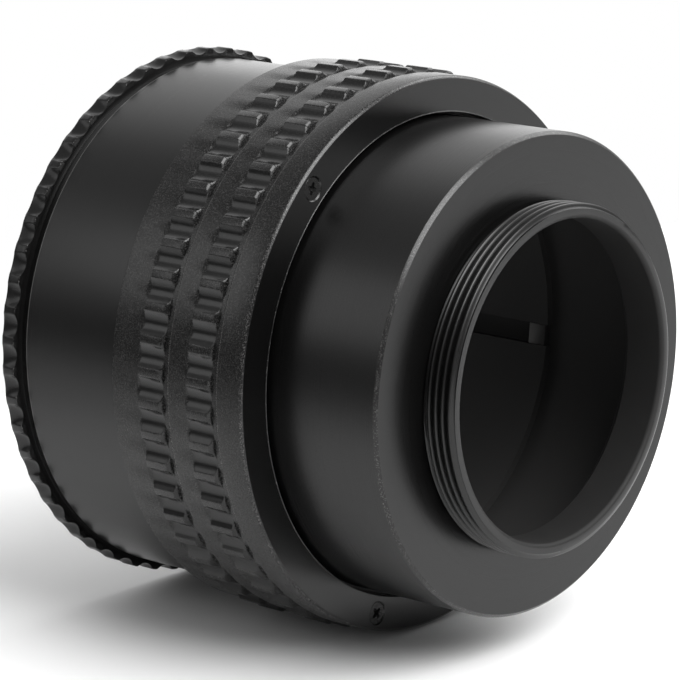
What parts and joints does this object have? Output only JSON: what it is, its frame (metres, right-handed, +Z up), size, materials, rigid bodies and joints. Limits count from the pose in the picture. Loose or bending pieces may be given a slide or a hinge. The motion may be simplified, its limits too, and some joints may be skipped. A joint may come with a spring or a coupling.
{
  "type": "focusing helicoid",
  "caption": "Double focusing helicoid: turning the fluted ring moves the male-threaded camera barrel and the female-threaded lens barrel together or apart without turning them.",
  "frame": {"origin": "centre of the camera face, where the male thread meets it, on the axis of the light path", "axes": "-Y along the axis, the way the camera side leaves; +Y towards the lens; +Z up"},
  "size_m": [0.0684, 0.0595, 0.0684],
  "materials": {
    "satin_black_anodised": "satin black anodised",
    "blasted_black_anodised": "bead-blasted black anodised",
    "matte_black_anodised": "matte black anodised",
    "grey_key_metal": "ground",
    "black_screw_steel": "blackened"
  },
  "bodies": {
    "camera_side": {"camera_barrel": "satin_black_anodised", "camera_guide_key_right": "grey_key_metal", "camera_guide_key_left": "grey_key_metal", "camera_key_screws": "black_screw_steel"},
    "guide": {"guide_sleeve": "matte_black_anodised"},
    "focus_ring": {"focus_grip_ring": "blasted_black_anodised", "focus_grip_screws": "black_screw_steel", "helicoid_ring": "matte_black_anodised", "rotation_stop_pin": "black_screw_steel", "sleeve_retaining_ring": "matte_black_anodised"},
    "lens_side": {"lens_barrel": "satin_black_anodised", "lens_mount_ring": "satin_black_anodised", "lens_mount_screws": "black_screw_steel", "lens_guide_rail_upper": "grey_key_metal", "lens_guide_rail_lower": "grey_key_metal", "lens_rail_screws": "black_screw_steel"}
  },
  "joints": [
    {"name": "guide_slide", "type": "slide", "parent": "camera_side", "child": "guide", "axis": [0, -1, 0], "range_m": [0, 0.015]},
    {"name": "focus_turn", "type": "hinge", "parent": "guide", "child": "focus_ring", "pos_m": [0, 0.026, 0], "axis": [0, 1, 0], "range_deg": [0, 270]},
    {"name": "lens_slide", "type": "slide", "parent": "guide", "child": "lens_side", "axis": [0, -1, 0], "range_m": [0, 0.015]}
  ],
  "couplings": [
    {"joint": "guide_slide", "follows": "focus_turn", "m_per_rad": 0.0031831},
    {"joint": "lens_slide", "follows": "focus_turn", "m_per_rad": 0.0031831}
  ]
}
